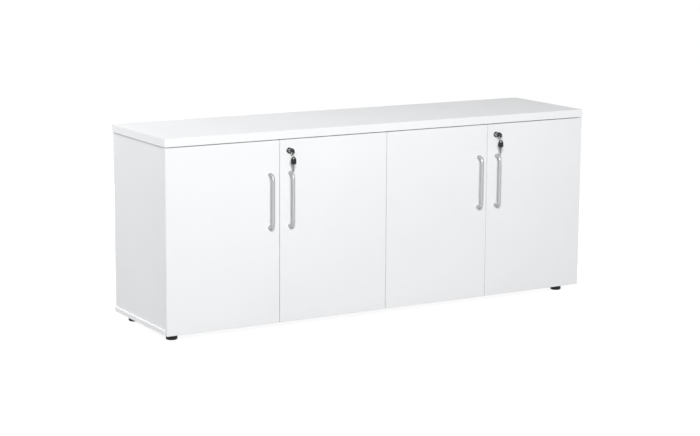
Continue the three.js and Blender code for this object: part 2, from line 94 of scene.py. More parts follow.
def new_finish(name, metallic=0.0, specular=0.5):
    """A material, its node tree and its shader, ready for the finish's own detail."""
    material = bpy.data.materials.new(name)
    material.use_nodes = True
    tree = material.node_tree
    shader = tree.nodes["Principled BSDF"]
    shader.inputs["Metallic"].default_value = metallic
    shader.inputs["Specular IOR Level"].default_value = specular
    return material, tree, shader


def noise_level(tree, cells, detail, stretch=(1, 1, 1)):
    """Noise of so many cells a metre, fixed to the piece, so that it travels with a door or key."""
    place = tree.nodes.new("ShaderNodeTexCoord")
    mapping = tree.nodes.new("ShaderNodeMapping")
    mapping.inputs["Scale"].default_value = stretch
    noise = tree.nodes.new("ShaderNodeTexNoise")
    noise.inputs["Scale"].default_value = cells
    noise.inputs["Detail"].default_value = detail
    tree.links.new(place.outputs["Object"], mapping.inputs["Vector"])
    tree.links.new(mapping.outputs["Vector"], noise.inputs["Vector"])
    return noise.outputs["Fac"]


def vary_colour(tree, shader, level, low, high):
    """Spread two tones over the band that noise keeps to."""
    ramp = tree.nodes.new("ShaderNodeValToRGB")
    first, last = ramp.color_ramp.elements
    first.position, last.position = NOISE_BAND
    first.color = (*low, 1)
    last.color = (*high, 1)
    tree.links.new(level, ramp.inputs["Fac"])
    tree.links.new(ramp.outputs["Color"], shader.inputs["Base Color"])


def spread(tree, level, band, ends):
    """A node that stretches a level's band to new ends."""
    span = tree.nodes.new("ShaderNodeMapRange")
    for socket, value in zip(("From Min", "From Max", "To Min", "To Max"), (*band, *ends)):
        span.inputs[socket].default_value = value
    tree.links.new(level, span.inputs["Value"])
    return span


def vary_roughness(tree, shader, level, ends):
    """Spread two roughnesses over the band that noise keeps to."""
    span = spread(tree, level, NOISE_BAND, ends)
    tree.links.new(span.outputs["Result"], shader.inputs["Roughness"])


def emboss(tree, shader, level, height):
    """Give the surface a relief of this height."""
    bump = tree.nodes.new("ShaderNodeBump")
    bump.inputs["Distance"].default_value = height
    tree.links.new(level, bump.inputs["Height"])
    tree.links.new(bump.outputs["Normal"], shader.inputs["Normal"])


def melamine_finish():
    """Pressed resin paper: a fine pearl texture, a hair uneven in tone and gloss."""
    material, tree, shader = new_finish("white_melamine", specular=MELAMINE_SPECULAR)
    vary_colour(tree, shader, noise_level(tree, cells=3, detail=4), MELAMINE_LOW, MELAMINE_HIGH)
    vary_roughness(tree, shader, noise_level(tree, cells=40, detail=3), MELAMINE_ROUGHNESS)
    emboss(tree, shader, noise_level(tree, cells=1300, detail=3), PEARL_HEIGHT)
    return material


def edging_finish():
    """Glued edging strip: plain plastic, smoother than the face it meets."""
    material, tree, shader = new_finish("white_edging")
    vary_colour(tree, shader, noise_level(tree, cells=9, detail=2), EDGING_LOW, EDGING_HIGH)
    vary_roughness(tree, shader, noise_level(tree, cells=160, detail=2), EDGING_ROUGHNESS)
    emboss(tree, shader, noise_level(tree, cells=500, detail=2), EDGING_RIPPLE)
    return material


white_melamine = melamine_finish()
white_edging = edging_finish()


def piece_of(name, mesh, *finishes):
    """An object made from a bmesh, smooth over its roundings and crisp at its corners."""
    data = bpy.data.meshes.new(name)
    mesh.to_mesh(data)
    mesh.free()
    for finish in finishes:
        data.materials.append(finish)
    data.shade_smooth()
    data.set_sharp_from_angle(angle=SHARP_FOLD)
    piece = bpy.data.objects.new(name, data)
    bpy.context.scene.collection.objects.link(piece)
    return piece


def cylinder(start, end, diameter, steps=HOLE_STEPS):
    """A closed round bar between two points, mostly used as a drill."""
    along = end - start
    turn = along.to_track_quat("Z", "Y").to_matrix().to_4x4()
    middle = Matrix.Translation((start + end) / 2)
    mesh = bmesh.new()
    bmesh.ops.create_cone(
        mesh,
        cap_ends=True,
        segments=steps,
        radius1=diameter / 2,
        radius2=diameter / 2,
        depth=along.length,
        matrix=middle @ turn,
    )
    return mesh


def block(low, high):
    """A closed box between two corners."""
    mesh = bmesh.new()
    bmesh.ops.create_cube(mesh, size=1)
    bmesh.ops.scale(mesh, vec=high - low, verts=mesh.verts)
    bmesh.ops.translate(mesh, vec=(low + high) / 2, verts=mesh.verts)
    return mesh


def bore(piece, tools):
    """Cut closed tools out of a piece and keep the result as its mesh."""
    cutters = []
    for tool in tools:
        cutter = piece_of("tool", tool)
        modifier = piece.modifiers.new("bore", "BOOLEAN")
        modifier.object = cutter
        modifier.solver = "EXACT"
        cutters.append(cutter)
    evaluated = piece.evaluated_get(bpy.context.evaluated_depsgraph_get())
    data = bpy.data.meshes.new_from_object(evaluated)
    piece.modifiers.clear()
    piece.data = data
    for cutter in cutters:
        bpy.data.objects.remove(cutter)
    data.shade_smooth()
    data.set_sharp_from_angle(angle=SHARP_FOLD)


def rounded(mesh, edges, radius, steps, clamp=False):
    """Round some edges of a mesh. Clamped, a rounding stops where it would meet another."""
    bmesh.ops.bevel(
        mesh,
        geom=edges,
        offset=radius,
        segments=steps,
        profile=ROUND_PROFILE,
        affect="EDGES",
        clamp_overlap=clamp,
    )


def even_shading(piece):
    """Keep the broad faces flat beside their rounded arrises."""
    piece.modifiers.new("even_shading", "WEIGHTED_NORMAL").keep_sharp = True


def stand_for(piece, node):
    """Let a piece take a solid's place on the body that carries it."""
    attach(piece, frame["nodes"][node]["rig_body"])
    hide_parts(node)


def board(name, node, tools=()):
    """A faced and edged board in the place of a solid, with its holes drilled."""
    low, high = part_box(node)
    size = high - low
    thickness_axis = min(range(3), key=lambda axis: size[axis])
    mesh = block(low, high)
    rounded(mesh, mesh.edges, BOARD_ARRIS, ARRIS_STEPS)
    for face in mesh.faces:
        face.material_index = 0 if abs(face.normal[thickness_axis]) > BROAD_FACE_COSINE else 1
    piece = piece_of(name, mesh, white_melamine, white_edging)
    if tools:
        bore(piece, tools)
    even_shading(piece)
    stand_for(piece, node)


def pin_drills(pins):
    """Drills for shelf pins, a little longer than the pins."""
    drills = []
    for number in pins:
        low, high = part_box(f"shelf_pin_{number}")
        middle = (low + high) / 2
        start = Vector((low.x - HOLE_CLEARANCE, middle.y, middle.z))
        end = Vector((high.x + HOLE_CLEARANCE, middle.y, middle.z))
        drills.append(cylinder(start, end, PIN_DIAMETER + 2 * HOLE_CLEARANCE))
    return drills


def stem_drills():
    """Drills for the feet's stems, from below the bottom panel."""
    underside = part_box("bottom_panel")[0].z
    drills = []
    for corner in FOOT_CORNERS:
        low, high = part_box(f"foot_{corner}")
        middle = (low + high) / 2
        start = Vector((middle.x, middle.y, underside - HOLE_START))
        end = Vector((middle.x, middle.y, high.z + HOLE_CLEARANCE))
        drills.append(cylinder(start, end, STEM_DIAMETER + 2 * HOLE_CLEARANCE))
    return drills


board("top_board", "top_panel")
board("bottom_board", "bottom_panel", stem_drills())
board("left_side_board", "left_side_panel", pin_drills(LEFT_SIDE_PINS))
board("right_side_board", "right_side_panel", pin_drills(RIGHT_SIDE_PINS))
board("divider_board", "centre_divider", pin_drills(DIVIDER_PINS))
board("back_board", "back_panel")


# Levelling feet. Each is a moulded black foot with a rounded tread edge and a glide let into its
# sole, and a plastic stem that screws up into the bottom panel.
FOOT_DIAMETER = 42 * MM
FOOT_ROUNDING = 4 * MM
FOOT_RIM = 0.8 * MM
GLIDE_DIAMETER = 30 * MM
GLIDE_GROOVE = 0.6 * MM
GRIP_GROOVE = 0.5 * MM
GRIP_HEIGHTS = (10 * MM, 12 * MM, 14 * MM)
FOOT_BLACK_LOW = (0.012, 0.012, 0.013)
FOOT_BLACK_HIGH = (0.022, 0.022, 0.024)
FOOT_ROUGHNESS = (0.36, 0.5)
PLASTIC_SPECULAR = 0.3
SPARK_HEIGHT = 0.03 * MM
TURNED_STEPS = 64
ROUNDING_STEPS = 6


def moulded_black(name, low, high, roughness):
    """Moulded black plastic with the fine spark texture of its tool."""
    material, tree, shader = new_finish(name, specular=PLASTIC_SPECULAR)
    vary_colour(tree, shader, noise_level(tree, cells=120, detail=3), low, high)
    vary_roughness(tree, shader, noise_level(tree, cells=400, detail=2), roughness)
    emboss(tree, shader, noise_level(tree, cells=2600, detail=2), SPARK_HEIGHT)
    return material


foot_black = moulded_black("foot_black", FOOT_BLACK_LOW, FOOT_BLACK_HIGH, FOOT_ROUGHNESS)


def turned(profile, closed=False, steps=TURNED_STEPS):
    """A body of revolution about Z from (radius, height) pairs, with a point where a radius is 0."""
    mesh = bmesh.new()
    rings = []
    for radius, height in profile:
        count = steps if radius else 1
        ring = []
        for step in range(count):
            angle = 2 * math.pi * step / steps
            ring.append(mesh.verts.new((radius * math.cos(angle), radius * math.sin(angle), height)))
        rings.append(ring)
    following = rings[1:] + rings[:1] if closed else rings[1:]
    for lower, upper in zip(rings, following):
        for step in range(steps):
            corners = [
                lower[step % len(lower)],
                lower[(step + 1) % len(lower)],
                upper[(step + 1) % len(upper)],
                upper[step % len(upper)],
            ]
            mesh.faces.new(list(dict.fromkeys(corners)))
    bmesh.ops.recalc_face_normals(mesh, faces=mesh.faces)
    return mesh


def quarter(centre, radius, start):
    """Profile points of a quarter round, from the start angle a quarter turn on."""
    points = []
    for step in range(ROUNDING_STEPS + 1):
        angle = math.radians(start + 90 * step / ROUNDING_STEPS)
        points.append((centre[0] + radius * math.cos(angle), centre[1] + radius * math.sin(angle)))
    return points


def foot_profile(height, top):
    """The foot's half section: glide, sole, rounded edge, grip grooves, rim and stem."""
    rim = FOOT_DIAMETER / 2
    stem = STEM_DIAMETER / 2
    glide = GLIDE_DIAMETER / 2
    profile = [(0, 0), (glide, 0), (glide, GLIDE_GROOVE)]
    profile += [(glide + GLIDE_GROOVE, GLIDE_GROOVE), (glide + GLIDE_GROOVE, 0)]
    profile += quarter((rim - FOOT_ROUNDING, FOOT_ROUNDING), FOOT_ROUNDING, -90)
    for groove in GRIP_HEIGHTS:
        profile += [(rim, groove), (rim - GRIP_GROOVE, groove + GRIP_GROOVE / 2)]
        profile += [(rim, groove + GRIP_GROOVE)]
    profile += quarter((rim - FOOT_RIM, height - FOOT_RIM), FOOT_RIM, 0)
    return profile + [(stem, height), (stem, top - FOOT_RIM), (stem - FOOT_RIM, top), (0, top)]


for corner in FOOT_CORNERS:
    low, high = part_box(f"foot_{corner}")
    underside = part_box("bottom_panel")[0].z
    mesh = turned(foot_profile(underside - low.z, high.z - low.z))
    middle = (low + high) / 2
    bmesh.ops.translate(mesh, vec=(middle.x, middle.y, low.z), verts=mesh.verts)
    piece = piece_of(f"levelling_foot_{corner}", mesh, foot_black)
    stand_for(piece, f"foot_{corner}")


# Shelves and their pins. A loose board in each half lies on four plated steel pins, whose collars
# stop against the uprights and sit in small notches under the shelf's ends.
PINS = LEFT_SIDE_PINS + DIVIDER_PINS + RIGHT_SIDE_PINS
PINS_FACING_RIGHT = (1, 2, 5, 6)
PIN_NEAR_SHELF_END = 2 * MM
PIN_COLLAR = 8 * MM
PIN_COLLAR_THICKNESS = 1.5 * MM
PIN_REACH = 8 * MM
PIN_TIP = 0.8 * MM
NICKEL_LOW = (0.56, 0.565, 0.57)
NICKEL_HIGH = (0.66, 0.665, 0.67)
NICKEL_ROUGHNESS = (0.24, 0.3)
HANDLING_MARKS = 0.0012 * MM


def plated_finish(name, low, high, roughness):
    """Plated metal: even, with faint cloudiness and fine handling marks."""
    material, tree, shader = new_finish(name, metallic=1.0)
    vary_colour(tree, shader, noise_level(tree, cells=60, detail=3), low, high)
    vary_roughness(tree, shader, noise_level(tree, cells=300, detail=3), roughness)
    emboss(tree, shader, noise_level(tree, cells=1800, detail=2), HANDLING_MARKS)
    return material


bright_nickel = plated_finish("bright_nickel", NICKEL_LOW, NICKEL_HIGH, NICKEL_ROUGHNESS)


def shelf_notches(shelf):
    """Drills at the shelf's ends for the collars of the pins under it."""
    low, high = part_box(shelf)
    reach = PIN_COLLAR_THICKNESS + 2 * HOLE_CLEARANCE
    drills = []
    for number in PINS:
        pin_low, pin_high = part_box(f"shelf_pin_{number}")
        middle = (pin_low + pin_high) / 2
        for end, inwards in ((low.x, 1), (high.x, -1)):
            if abs(middle.x - end) < PIN_NEAR_SHELF_END:
                start = Vector((middle.x - inwards * HOLE_START, middle.y, middle.z))
                stop = Vector((middle.x + inwards * reach, middle.y, middle.z))
                drills.append(cylinder(start, stop, PIN_COLLAR + 2 * HOLE_CLEARANCE))
    return drills


def pin_profile():
    """Half section of a shelf pin: shank, collar and rounded seat."""
    shank = PIN_DIAMETER / 2
    collar = PIN_COLLAR / 2
    collar_end = HOLE_CLEARANCE + PIN_COLLAR_THICKNESS
    profile = [(0, -PIN_REACH), (shank - PIN_TIP, -PIN_REACH), (shank, PIN_TIP - PIN_REACH)]
    profile += [(shank, HOLE_CLEARANCE), (collar, HOLE_CLEARANCE)]
    profile += [(collar, collar_end), (shank, collar_end)]
    profile += quarter((shank - PIN_TIP, PIN_REACH - PIN_TIP), PIN_TIP, 0)
    return profile + [(0, PIN_REACH)]


board("left_shelf_board", "left_shelf", shelf_notches("left_shelf"))
board("right_shelf_board", "right_shelf", shelf_notches("right_shelf"))
for number in PINS:
    low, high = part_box(f"shelf_pin_{number}")
    facing = 1 if number in PINS_FACING_RIGHT else -1
    turn = Matrix.Rotation(facing * math.pi / 2, 4, "Y")
    mesh = turned(pin_profile(), steps=HOLE_STEPS)
    bmesh.ops.transform(mesh, matrix=Matrix.Translation((low + high) / 2) @ turn, verts=mesh.verts)
    piece = piece_of(f"plated_pin_{number}", mesh, bright_nickel)
    stand_for(piece, f"shelf_pin_{number}")


# Concealed hinges. A pressed and plated arm is clipped to a cross plate that two screws hold to the
# upright, and its nose reaches into a steel cup of 35 mm let into the door's back.
DOORS = (1, 2, 3, 4)
DOORS_HUNG_LEFT = (1, 3)
HINGE_LEVELS = ("lower", "upper")
PRESSED_EASING = 0.35 * MM
PRESSED_EASING_STEPS = 2
SAME_POINT = 0.001 * MM
FLAT_FOLD = 0.01
CUP_DIAMETER = 35 * MM
CUP_WALL = 1.5 * MM
CUP_LIP = 0.5 * MM
FLANGE = 1.2 * MM
WING_WIDTH = 18 * MM
WING_SHIFT = 6 * MM
WING_END_STEPS = 24
CUP_SCREW_PITCH = 45 * MM
PLATE_SCREW_PITCH = 32 * MM
PLATE_FROM_FRONT = 37 * MM
PLATE_WING = 2.5 * MM
ARM_SCREWS_FROM_FRONT = (27 * MM, 48 * MM)
ARM_CHANNEL_FLOOR = 8.5 * MM
SCREW_HEAD = 7 * MM
SCREW_DOME = 2 * MM
SCREW_CROWN = ((1, 0.35), (0.88, 0.7), (0.6, 0.93))
SCREW_STEPS = 32
RECESS_LENGTH = 3.6 * MM
RECESS_WIDTH = 0.9 * MM
RECESS_DEPTH = 1.3 * MM


def eased(node):
    """A pressed piece's own shape with its edges rounded as a press leaves them."""
    mesh = bmesh.new()
    mesh.from_mesh(frame["nodes"][node].data)
    bmesh.ops.remove_doubles(mesh, verts=mesh.verts, dist=SAME_POINT)
    bmesh.ops.dissolve_limit(mesh, angle_limit=FLAT_FOLD, verts=mesh.verts, edges=mesh.edges)
    sharp = [edge for edge in mesh.edges if edge.is_manifold and edge.calc_face_angle() > SHARP_FOLD]
    rounded(mesh, sharp, PRESSED_EASING, PRESSED_EASING_STEPS, clamp=True)
    return mesh


def screw_mesh():
    """A domed screw head with a cross recess, its seat at the origin and its dome towards +Z."""
    rim = SCREW_HEAD / 2
    crown = [(rim * out, SCREW_DOME * up) for out, up in SCREW_CROWN]
    profile = [(0, 0), (rim, 0), *crown, (0, SCREW_DOME)]
    head = piece_of("screw", turned(profile, steps=SCREW_STEPS), bright_nickel)
    floor = SCREW_DOME - RECESS_DEPTH
    bars = []
    for across, along in ((RECESS_LENGTH, RECESS_WIDTH), (RECESS_WIDTH, RECESS_LENGTH)):
        low = Vector((-across / 2, -along / 2, floor))
        bars.append(block(low, Vector((across / 2, along / 2, 2 * SCREW_DOME))))
    bore(head, bars)
    data = head.data
    bpy.data.objects.remove(head)
    return data


cross_screw = screw_mesh()


def screws(name, body, seats, facing):
    """Screw heads at several seats, all facing one way, as one set on one body."""
    mesh = bmesh.new()
    turn = Vector(facing).to_track_quat("Z", "Y").to_matrix().to_4x4()
    for seat in seats:
        before = len(mesh.verts)
        mesh.from_mesh(cross_screw)
        mesh.verts.ensure_lookup_table()
        bmesh.ops.transform(mesh, matrix=Matrix.Translation(seat) @ turn, verts=mesh.verts[before:])
    piece = piece_of(name, mesh, bright_nickel)
    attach(piece, body)


def cup_profile(depth):
    """Half section of the cup, open towards +Z, its flange on the door's back at height 0."""
    outer = CUP_DIAMETER / 2
    inner = outer - CUP_WALL
    top = HOLE_CLEARANCE + FLANGE
    profile = [(0, -depth), (outer - CUP_WALL, -depth), (outer, CUP_WALL - depth)]
    profile += [(outer, top - CUP_LIP)]
    profile += [(outer - CUP_LIP, top), (inner + CUP_LIP, top), (inner, top - CUP_LIP)]
    profile += reversed(quarter((inner - CUP_WALL, 2 * CUP_WALL - depth), CUP_WALL, -90))
    return profile + [(0, CUP_WALL - depth)]


def plate(outline, through):
    """A flat plate from the points of its outline and the way through its thickness."""
    mesh = bmesh.new()
    near = [mesh.verts.new(point) for point in outline]
    far = [mesh.verts.new(Vector(point) + Vector(through)) for point in outline]
    mesh.faces.new(near)
    mesh.faces.new(far)
    for index in range(len(near)):
        mesh.faces.new((near[index - 1], near[index], far[index], far[index - 1]))
    bmesh.ops.recalc_face_normals(mesh, faces=mesh.faces)
    return mesh


def cup_wings(length, shift):
    """The plate of the cup's two screw wings, with round ends, before the cup's mouth is cut."""
    radius = WING_WIDTH / 2
    run = length / 2 - radius
    outline = []
    for end, start in ((run, 0), (-run, 180)):
        for step in range(WING_END_STEPS + 1):
            angle = math.radians(start + 180 * step / WING_END_STEPS)
            x = shift + radius * math.cos(angle)
            outline.append((x, end + radius * math.sin(angle), HOLE_CLEARANCE))
    return plate(outline, (0, 0, FLANGE))


def away_from_edge(door):
    """The way along X from a door's hinged edge to its middle."""
    return 1 if door in DOORS_HUNG_LEFT else -1


def hinge_arm(door, level):
    """The arm and its cross plate, which stay on the upright."""
    node = f"door_{door}_{level}_hinge_arm"
    arm = piece_of(f"hinge_arm_{door}_{level}", eased(node), bright_nickel)
    even_shading(arm)
    stand_for(arm, node)


def hinge_cup(door, level):
    """The turned cup with its two wings, let into the door from behind, and its screws."""
    node = f"door_{door}_{level}_hinge_cup"
    low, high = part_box(node)
    middle = (low + high) / 2
    door_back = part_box(f"door_{door}")[1].y
    shift = away_from_edge(door) * WING_SHIFT
    cup = piece_of(f"hinge_cup_{door}_{level}", turned(cup_profile(door_back - low.y)), bright_nickel)
    wings = piece_of("wings", cup_wings(high.z - low.z, shift), bright_nickel)
    mouth = CUP_DIAMETER - 2 * CUP_WALL
    below = Vector((0, 0, -FLANGE))
    above = Vector((0, 0, 4 * FLANGE))
    bore(wings, [cylinder(below, above, mouth, TURNED_STEPS)])
    mesh = bmesh.new()
    mesh.from_mesh(cup.data)
    mesh.from_mesh(wings.data)
    # The cup's own Z looks into the cabinet.
    seat = Vector((middle.x, door_back, middle.z))
    place = Matrix.Translation(seat) @ Matrix.Rotation(-math.pi / 2, 4, "X")
    bmesh.ops.transform(mesh, matrix=place, verts=mesh.verts)
    mesh.to_mesh(cup.data)
    mesh.free()
    bpy.data.objects.remove(wings)
    stand_for(cup, node)
    wing_top = door_back + HOLE_CLEARANCE + FLANGE
    seats = [
        Vector((middle.x + shift, wing_top, middle.z + side * CUP_SCREW_PITCH / 2))
        for side in (-1, 1)
    ]
    screws(f"cup_screws_{door}_{level}", frame["nodes"][node]["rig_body"], seats, (0, 1, 0))


def plate_screws(door, level):
    """Two screws that hold the cross plate, and two in the arm that hold and set it."""
    low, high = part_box(f"door_{door}_{level}_hinge_arm")
    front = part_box("bottom_panel")[0].y
    height = (low.z + high.z) / 2
    inwards = away_from_edge(door)
    upright = low.x if inwards > 0 else high.x
    plate_top = upright + inwards * PLATE_WING
    channel = upright + inwards * ARM_CHANNEL_FLOOR
    seats = [
        Vector((plate_top, front + PLATE_FROM_FRONT, height + side * PLATE_SCREW_PITCH / 2))
        for side in (-1, 1)
    ]
    seats += [Vector((channel, front + back, height)) for back in ARM_SCREWS_FROM_FRONT]
    screws(f"plate_screws_{door}_{level}", "carcass", seats, (inwards, 0, 0))


for door in DOORS:
    for level in HINGE_LEVELS:
        hinge_arm(door, level)
        hinge_cup(door, level)
        plate_screws(door, level)


# Doors. Four boards of the same white melamine hang in two pairs, edged all round, bored at the
# back for the hinge cups, and bored through for the lock on the right-hand door of each pair.
LOCK_BARREL = 18 * MM
LOCK_OF_DOOR = {2: 1, 4: 2}


def door_drills(door):
    """Drills for a door's hinge cups and for its lock, if it has one."""
    low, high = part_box(f"door_{door}")
    drills = []
    for level in HINGE_LEVELS:
        cup_low, cup_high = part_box(f"door_{door}_{level}_hinge_cup")
        middle = (cup_low + cup_high) / 2
        start = Vector((middle.x, high.y + HOLE_START, middle.z))
        end = Vector((middle.x, cup_low.y - HOLE_CLEARANCE, middle.z))
        drills.append(cylinder(start, end, CUP_DIAMETER + 2 * HOLE_CLEARANCE, TURNED_STEPS))
    if door in LOCK_OF_DOOR:
        case_low, case_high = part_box(f"lock_{LOCK_OF_DOOR[door]}_case")
        middle = (case_low + case_high) / 2
        start = Vector((middle.x, low.y - HOLE_START, middle.z))
        end = Vector((middle.x, high.y + HOLE_START, middle.z))
        drills.append(cylinder(start, end, LOCK_BARREL + 2 * HOLE_CLEARANCE))
    return drills


for door in DOORS:
    board(f"door_board_{door}", f"door_{door}", door_drills(door))


# Bow handles. One round bar of satin-finished metal is bent back to the door at both ends, and a
# screw through the door from behind holds each foot.
HANDLE_BAR = 14 * MM
HANDLE_BEND = 20 * MM
BEND_STEPS = 14
BAR_STEPS = 40
SATIN_LOW = (0.42, 0.425, 0.43)
SATIN_HIGH = (0.5, 0.505, 0.51)
SATIN_METALLIC = 0.5
SATIN_SPECULAR = 0.25
SATIN_ROUGHNESS = (0.3, 0.4)
BRUSHED_ALONG = (1, 1, 0.02)
BRUSH_DEPTH = 0.006 * MM


def satin_finish():
    """Satin metal: fine lengthwise brushing that shows in tone, gloss and surface."""
    material, tree, shader = new_finish("satin_handle", SATIN_METALLIC, SATIN_SPECULAR)
    tone = noise_level(tree, cells=900, detail=3, stretch=BRUSHED_ALONG)
    gloss = noise_level(tree, cells=2200, detail=3, stretch=BRUSHED_ALONG)
    scratches = noise_level(tree, cells=3000, detail=2, stretch=BRUSHED_ALONG)
    vary_colour(tree, shader, tone, SATIN_LOW, SATIN_HIGH)
    vary_roughness(tree, shader, gloss, SATIN_ROUGHNESS)
    emboss(tree, shader, scratches, BRUSH_DEPTH)
    return material


satin_metal = satin_finish()


def curve_points(start, corner, end, steps):
    """Points of a quadratic curve drawn towards a corner, its start left out."""
    points = []
    for step in range(1, steps + 1):
        t = step / steps
        shares = ((1 - t) ** 2, 2 * t * (1 - t), t**2)
        first = shares[0] * start[0] + shares[1] * corner[0] + shares[2] * end[0]
        second = shares[0] * start[1] + shares[1] * corner[1] + shares[2] * end[1]
        points.append((first, second))
    return points


def bow_path(reach, half):
    """The bar's middle line as (standing off the door, height) pairs, from the lower foot up."""
    leg = (reach - HANDLE_BEND, -half)
    bend = curve_points(leg, (reach, -half), (reach, HANDLE_BEND - half), BEND_STEPS)
    points = [(HOLE_CLEARANCE, -half), leg, *bend]
    return points + [(out, -rise) for out, rise in reversed(points)]


def bow_stations(points):
    """Each point of a path at constant x, with the two ways across a bar that follows it."""
    across = Vector((1, 0, 0))
    stations = []
    for index, point in enumerate(points):
        before = points[max(index - 1, 0)]
        after = points[min(index + 1, len(points) - 1)]
        along = (after - before).normalized()
        stations.append((point, across, along.cross(across)))
    return stations


def round_bar(stations, diameter, steps):
    """A round bar through stations, closed at its ends."""
    mesh = bmesh.new()
    rings = []
    for point, across, outwards in stations:
        ring = []
        for step in range(steps):
            angle = 2 * math.pi * step / steps
            offset = across * math.cos(angle) + outwards * math.sin(angle)
            ring.append(mesh.verts.new(point + offset * diameter / 2))
        rings.append(ring)
    for lower, upper in zip(rings, rings[1:]):
        for step in range(steps):
            following = (step + 1) % steps
            mesh.faces.new((lower[step], lower[following], upper[following], upper[step]))
    mesh.faces.new(rings[0])
    mesh.faces.new(rings[-1])
    bmesh.ops.recalc_face_normals(mesh, faces=mesh.faces)
    return mesh


for door in DOORS:
    low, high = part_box(f"handle_{door}")
    door_low, door_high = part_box(f"door_{door}")
    middle = (low + high) / 2
    reach = door_low.y - low.y - HANDLE_BAR / 2
    half = (high.z - low.z - HANDLE_BAR) / 2
    points = []
    for out, rise in bow_path(reach, half):
        points.append(Vector((middle.x, door_low.y - out, middle.z + rise)))
    mesh = round_bar(bow_stations(points), HANDLE_BAR, BAR_STEPS)
    piece = piece_of(f"bow_handle_{door}", mesh, satin_metal)
    stand_for(piece, f"handle_{door}")
    seats = [Vector((middle.x, door_high.y, middle.z + side * half)) for side in (-1, 1)]
    screws(f"handle_screws_{door}", frame["nodes"][f"door_{door}"]["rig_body"], seats, (0, 1, 0))


# Cam locks. A dark chrome case with a bevelled rose is held in the door by a nut from behind. The
# plug turns in it and carries a pressed cam, which turns up behind a keeper screwed under the top.
ROSE_DIAMETER = 22 * MM
ROSE_THICKNESS = 4 * MM
ROSE_BEVEL = 1 * MM
PLUG_DIAMETER = 12 * MM
PLUG_BEVEL = 0.4 * MM
KEYWAY_WIDTH = 2.6 * MM
KEYWAY_HEIGHT = 8 * MM
KEYWAY_DEPTH = 20 * MM
STUB_DIAMETER = 8 * MM
CAM_BOLT = 11 * MM
CAM_BOLT_HEIGHT = 3 * MM
KEEPER_SCREW_PITCH = 14 * MM
KEEPER_SCREW_FROM_FRONT = 6 * MM
KEEPER_SHEET = 2 * MM
CHROME_LOW = (0.10, 0.103, 0.108)
CHROME_HIGH = (0.16, 0.164, 0.17)
CHROME_ROUGHNESS = (0.12, 0.24)

dark_chrome = plated_finish("dark_chrome", CHROME_LOW, CHROME_HIGH, CHROME_ROUGHNESS)


def case_profile(depth):
    """Half section of the lock's case: barrel, rose and bevel, with a bore for the plug."""
    bore_radius = PLUG_DIAMETER / 2 + HOLE_CLEARANCE
    barrel = LOCK_BARREL / 2
    rose = ROSE_DIAMETER / 2
    face = ROSE_THICKNESS
    profile = [(bore_radius, -depth), (barrel - PLUG_BEVEL, -depth), (barrel, PLUG_BEVEL - depth)]
    profile += [(barrel, HOLE_CLEARANCE), (rose, HOLE_CLEARANCE)]
    profile += quarter((rose - ROSE_BEVEL, face - ROSE_BEVEL), ROSE_BEVEL, 0)
    return profile + [(bore_radius + PLUG_BEVEL, face), (bore_radius, face - PLUG_BEVEL)]


def plug_profile(face, end, stub_end):
    """Half section of the plug and its stub, from the stub's end to the face."""
    plug = PLUG_DIAMETER / 2
    stub = STUB_DIAMETER / 2
    profile = [(0, stub_end), (stub - PLUG_BEVEL, stub_end), (stub, stub_end + PLUG_BEVEL)]
    profile += [(stub, end), (plug, end), (plug, face - PLUG_BEVEL), (plug - PLUG_BEVEL, face)]
    return profile + [(0, face)]


def bolt_profile():
    """Half section of the low round bolt that holds the cam on its stub."""
    rim = CAM_BOLT / 2
    profile = [(0, 0), (rim, 0)]
    profile += quarter((rim - PLUG_BEVEL, CAM_BOLT_HEIGHT - PLUG_BEVEL), PLUG_BEVEL, 0)
    return profile + [(0, CAM_BOLT_HEIGHT)]


def lock_place(number, door_front):
    """Where a lock is built: its own Z looks out of the door, and is 0 at the door's face."""
    low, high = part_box(f"lock_{number}_case")
    middle = (low + high) / 2
    return Matrix.Translation((middle.x, door_front, middle.z)) @ Matrix.Rotation(math.pi / 2, 4, "X")


def lock_case(number, door_front, place):
    """The case: a rose on the door's face and a barrel through the door."""
    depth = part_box(f"lock_{number}_case")[1].y - door_front
    mesh = turned(case_profile(depth), closed=True)
    bmesh.ops.transform(mesh, matrix=place, verts=mesh.verts)
    case = piece_of(f"lock_case_{number}", mesh, dark_chrome)
    stand_for(case, f"lock_{number}_case")


def lock_plug(number, door_front, place):
    """The plug with its keyway, and the stub behind it that carries the cam."""
    low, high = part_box(f"lock_{number}_plug")
    face = door_front - low.y
    end = door_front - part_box(f"lock_{number}_cam")[0].y + HOLE_CLEARANCE
    stub_end = door_front - high.y
    plug = piece_of(f"lock_plug_{number}", turned(plug_profile(face, end, stub_end)), bright_nickel)
    slot_low = Vector((-KEYWAY_WIDTH / 2, -KEYWAY_HEIGHT / 2, face - KEYWAY_DEPTH))
    slot_high = Vector((KEYWAY_WIDTH / 2, KEYWAY_HEIGHT / 2, face + HOLE_START))
    bore(plug, [block(slot_low, slot_high)])
    plug.data.transform(place)
    stand_for(plug, f"lock_{number}_plug")


def lock_pressings(number):
    """The nut behind the door, the cam on the plug's stub and the keeper under the top."""
    for part, slot, finish in (
        ("nut", "dark_chrome", dark_chrome),
        ("cam", "plated_steel", bright_nickel),
        ("keeper", "plated_steel", bright_nickel),
    ):
        piece = piece_of(f"lock_{part}_{number}", eased(f"lock_{number}_{part}"), finish)
        even_shading(piece)
        stand_for(piece, f"lock_{number}_{part}")


